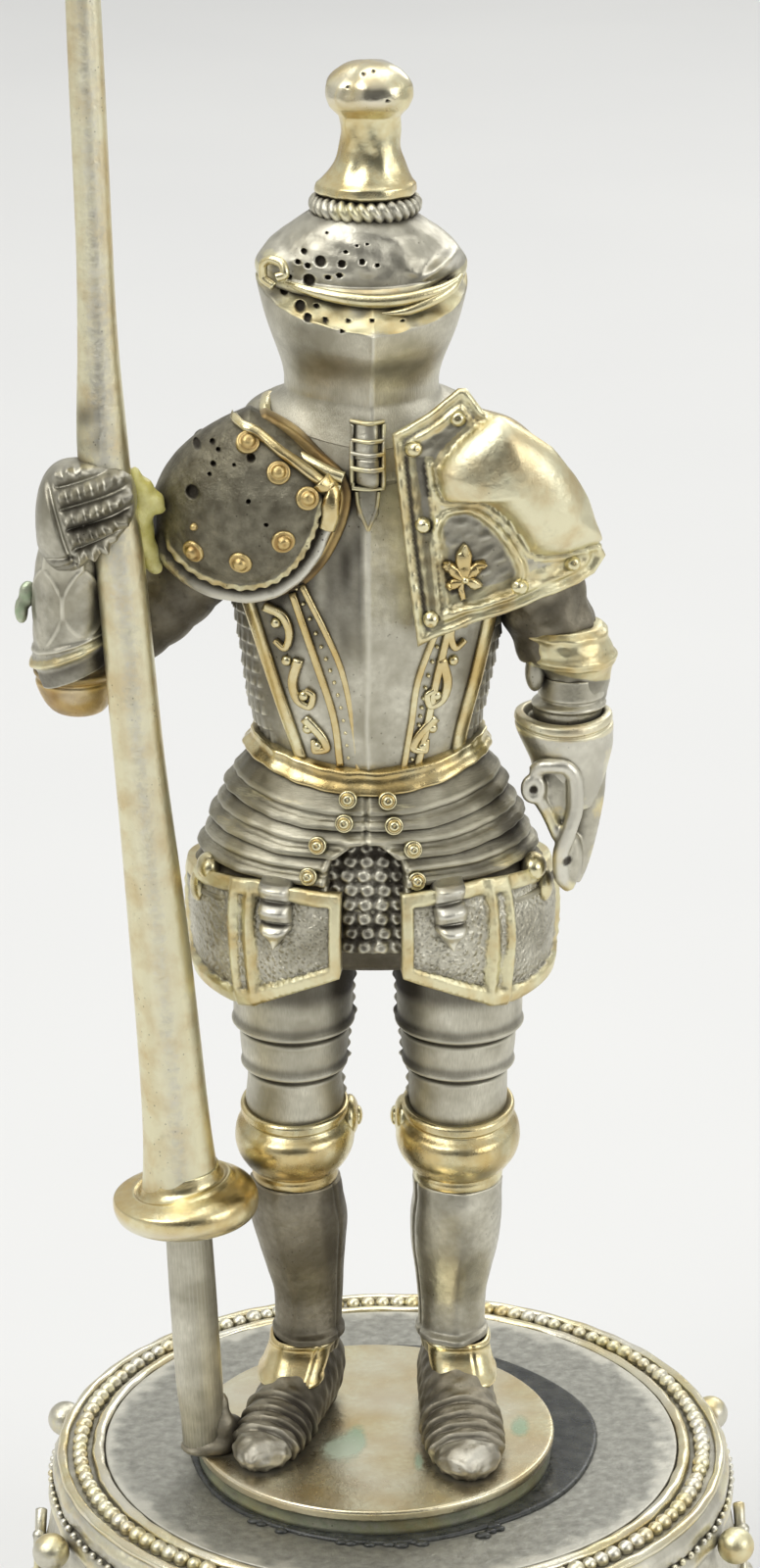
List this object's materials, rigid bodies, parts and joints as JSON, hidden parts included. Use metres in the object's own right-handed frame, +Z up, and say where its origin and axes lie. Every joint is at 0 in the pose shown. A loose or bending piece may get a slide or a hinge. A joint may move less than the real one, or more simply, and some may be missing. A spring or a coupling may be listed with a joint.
{
  "type": "armoured knight figurine",
  "caption": "Standing figurine of a knight in jousting armour with closed helm and upright lance, bonded by its footplate to a round pedestal; it rests on its flat base.",
  "frame": {"origin": "centre of the flat underside of the pedestal", "axes": "+Z up along the pedestal's axis; the figure faces -Y, so its right hand and the lance are on the -X side"},
  "size_m": [0.0348, 0.0348, 0.0975],
  "materials": {
    "polished_silver": "worn satin silver, darker in the recesses",
    "oxidised_silver": "oxidised silver, dark and matt with rubbed high points",
    "gilding": "pale gilding, polished, worn to silver on edges",
    "dark_adhesive": "dark set adhesive, glossy",
    "yellow_resin": "translucent yellow repair resin"
  },
  "bodies": {
    "root": {"adhesive_bed": "dark_adhesive", "backplate": "polished_silver", "breastplate": "polished_silver", "chest_strap": "gilding", "fauld_lame_1": "polished_silver", "fauld_lame_2": "polished_silver", "fauld_lame_3": "polished_silver", "fauld_lame_4": "polished_silver", "fauld_rivets": "gilding", "footplate": "gilding", "gorget": "polished_silver", "grandguard_ornament": "gilding", "grandguard_rivets": "gilding", "helm_bevor": "polished_silver", "helm_finial": "gilding", "helm_skull": "polished_silver", "helm_torse": "polished_silver", "hip_core": "oxidised_silver", "inner_rim_wire": "gilding", "lance_grip": "polished_silver", "lance_shaft": "gilding", "lance_vamplate": "gilding", "left_breast_bands": "gilding", "left_couter": "gilding", "left_cuisse": "polished_silver", "left_forearm": "polished_silver", "left_gauntlet_cuff": "gilding", "left_grandguard": "polished_silver", "left_greave": "polished_silver", "left_hand": "polished_silver", "left_pauldron": "gilding", "left_poleyn": "gilding", "left_sabaton": "polished_silver", "left_tasset": "polished_silver", "left_tasset_strap": "gilding", "left_upper_arm": "oxidised_silver", "lower_beads": "polished_silver", "mail_panel": "oxidised_silver", "outer_rim_wire": "gilding", "pauldron_rivets": "gilding", "pedestal_base_plate": "polished_silver", "pedestal_wall": "polished_silver", "right_breast_bands": "gilding", "right_couter": "gilding", "right_cuisse": "polished_silver", "right_fist": "oxidised_silver", "right_greave": "polished_silver", "right_pauldron": "oxidised_silver", "right_poleyn": "gilding", "right_sabaton": "polished_silver", "right_tasset": "polished_silver", "right_tasset_strap": "gilding", "right_upper_arm": "oxidised_silver", "right_vambrace": "polished_silver", "rim_beads": "gilding", "shoulder_adhesive": "yellow_resin", "side_bosses": "polished_silver", "top_plate": "oxidised_silver", "waist_flange": "gilding"}
  },
  "joints": []
}
